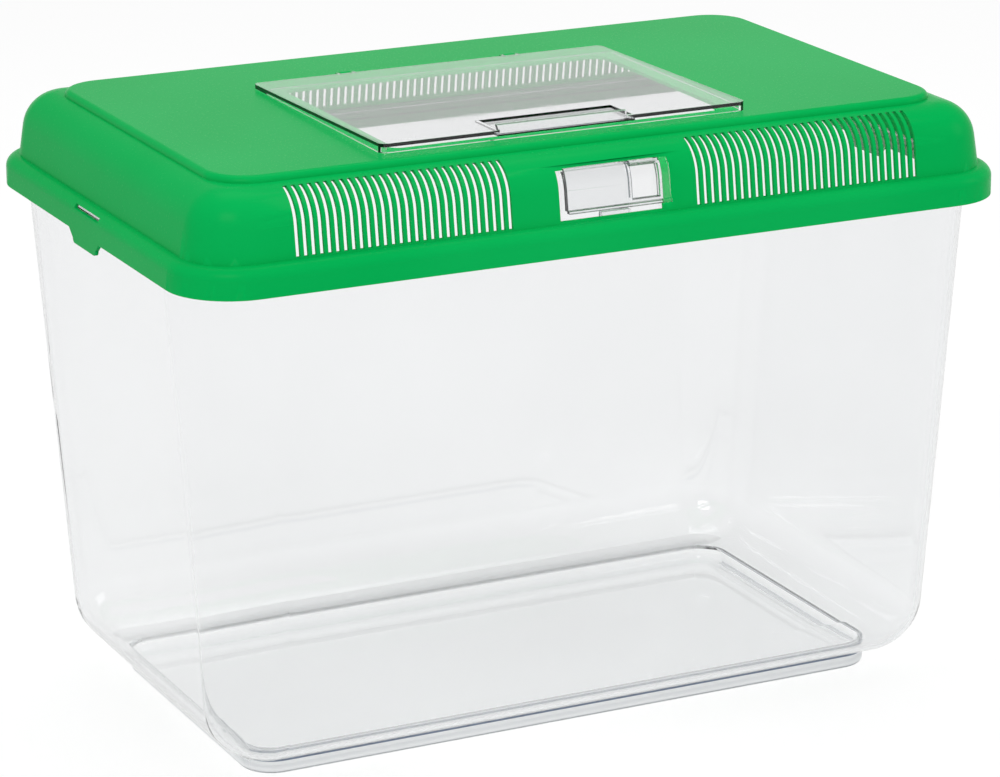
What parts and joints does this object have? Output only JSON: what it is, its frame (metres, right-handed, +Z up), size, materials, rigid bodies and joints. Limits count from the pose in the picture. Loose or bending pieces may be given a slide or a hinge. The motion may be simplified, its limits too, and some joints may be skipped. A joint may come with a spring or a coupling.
{
  "type": "pet transport box",
  "caption": "Clear tapered plastic box for carrying a small pet, with a vented lift-off green lid, a hinged feeding flap on top and a sliding front latch.",
  "frame": {"origin": "centre of the plinth's underside, where the box stands", "axes": "+X to the right along the long side, +Y to the rear, +Z up; the latch is on the -Y side"},
  "size_m": [0.4, 0.2536, 0.2858],
  "materials": {
    "clear_tank": "clear, polished",
    "green_lid": "green, satin gloss",
    "clear_flap": "clear, polished",
    "clear_latch": "clear, polished"
  },
  "bodies": {
    "tank": {"tank": "clear_tank"},
    "lid": {"lid": "green_lid"},
    "flap": {"flap": "clear_flap"},
    "latch": {"latch": "clear_latch"}
  },
  "joints": [
    {"name": "lid_lift", "type": "slide", "parent": "tank", "child": "lid", "axis": [0, 0, 1], "range_m": [0, 0.1]},
    {"name": "flap_hinge", "type": "hinge", "parent": "lid", "child": "flap", "pos_m": [-0.009, 0.0534, 0.27975], "axis": [-1, 0, 0], "range_deg": [0, 110]},
    {"name": "latch_slide", "type": "slide", "parent": "lid", "child": "latch", "axis": [-1, 0, 0], "range_m": [0, 0.003]}
  ]
}
